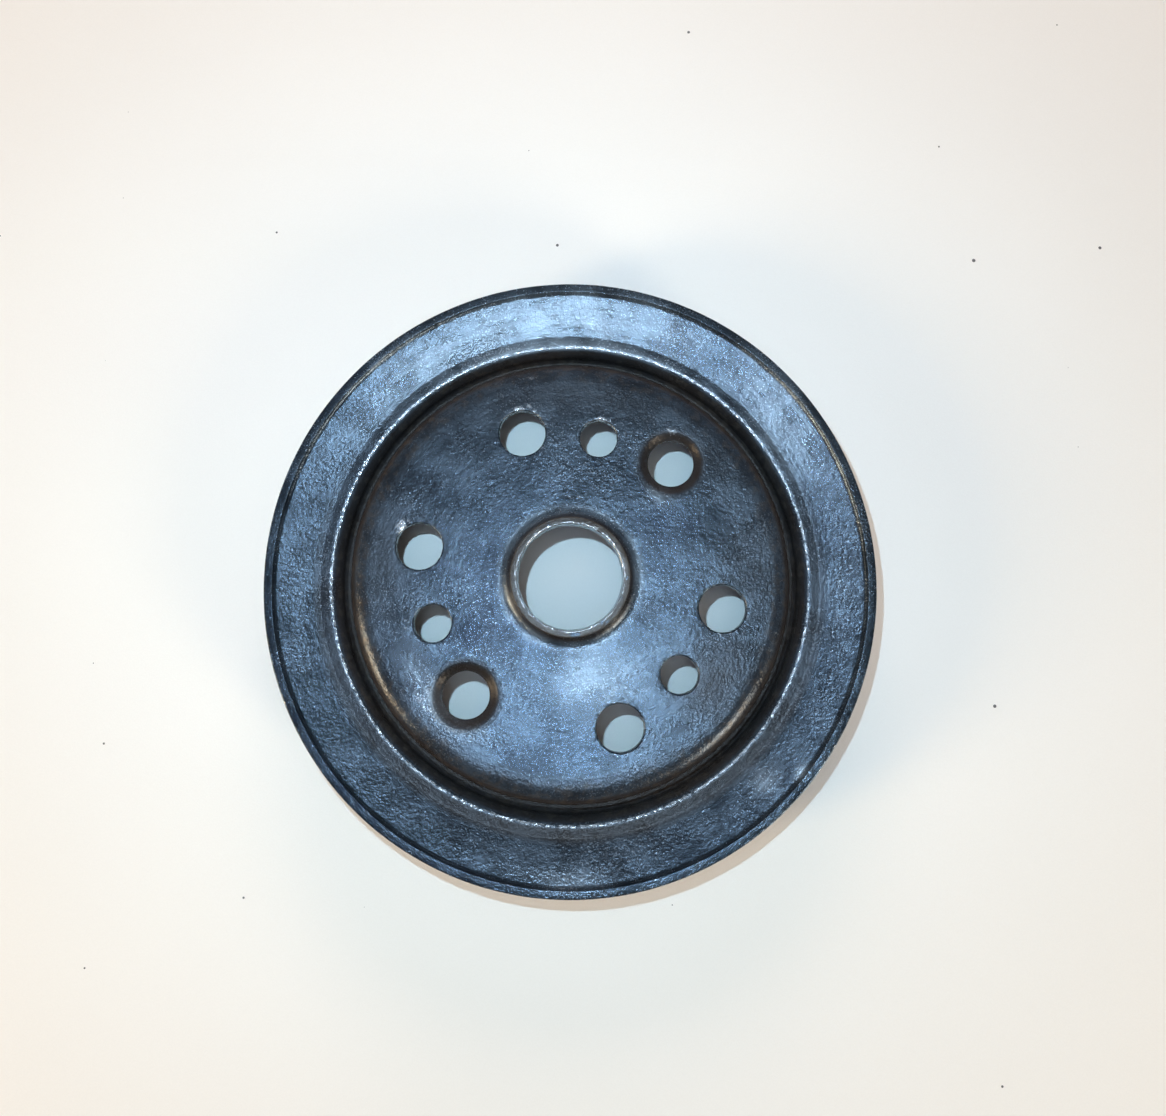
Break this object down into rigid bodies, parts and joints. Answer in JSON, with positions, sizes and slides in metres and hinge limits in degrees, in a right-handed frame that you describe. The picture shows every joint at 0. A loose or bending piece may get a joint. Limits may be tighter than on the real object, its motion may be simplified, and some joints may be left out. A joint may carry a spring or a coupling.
{
  "type": "v belt pulley",
  "caption": "Pressed-steel single-groove V-belt pulley with a flat web, a drawn collar round its bore and bolt holes on two circles.",
  "frame": {"origin": "on the axis of the bore, in the plane of the rear rim, on which the pulley can lie", "axes": "+Z along the axis of the bore towards the front of the pulley, where the collar stands out; the first of the two sunk bolt holes lies 48.4 degrees round from +X"},
  "size_m": [0.1524, 0.1524, 0.0251],
  "materials": {
    "front_paint": "worn black paint over pitted pressed steel",
    "rear_paint": "worn black paint, polished by the belt in the groove",
    "weld_marks": "painted over spot-weld marks"
  },
  "bodies": {
    "root": {"front_pressing": "front_paint", "rear_flange_ring": "rear_paint", "spot_welds": "weld_marks"}
  },
  "joints": []
}
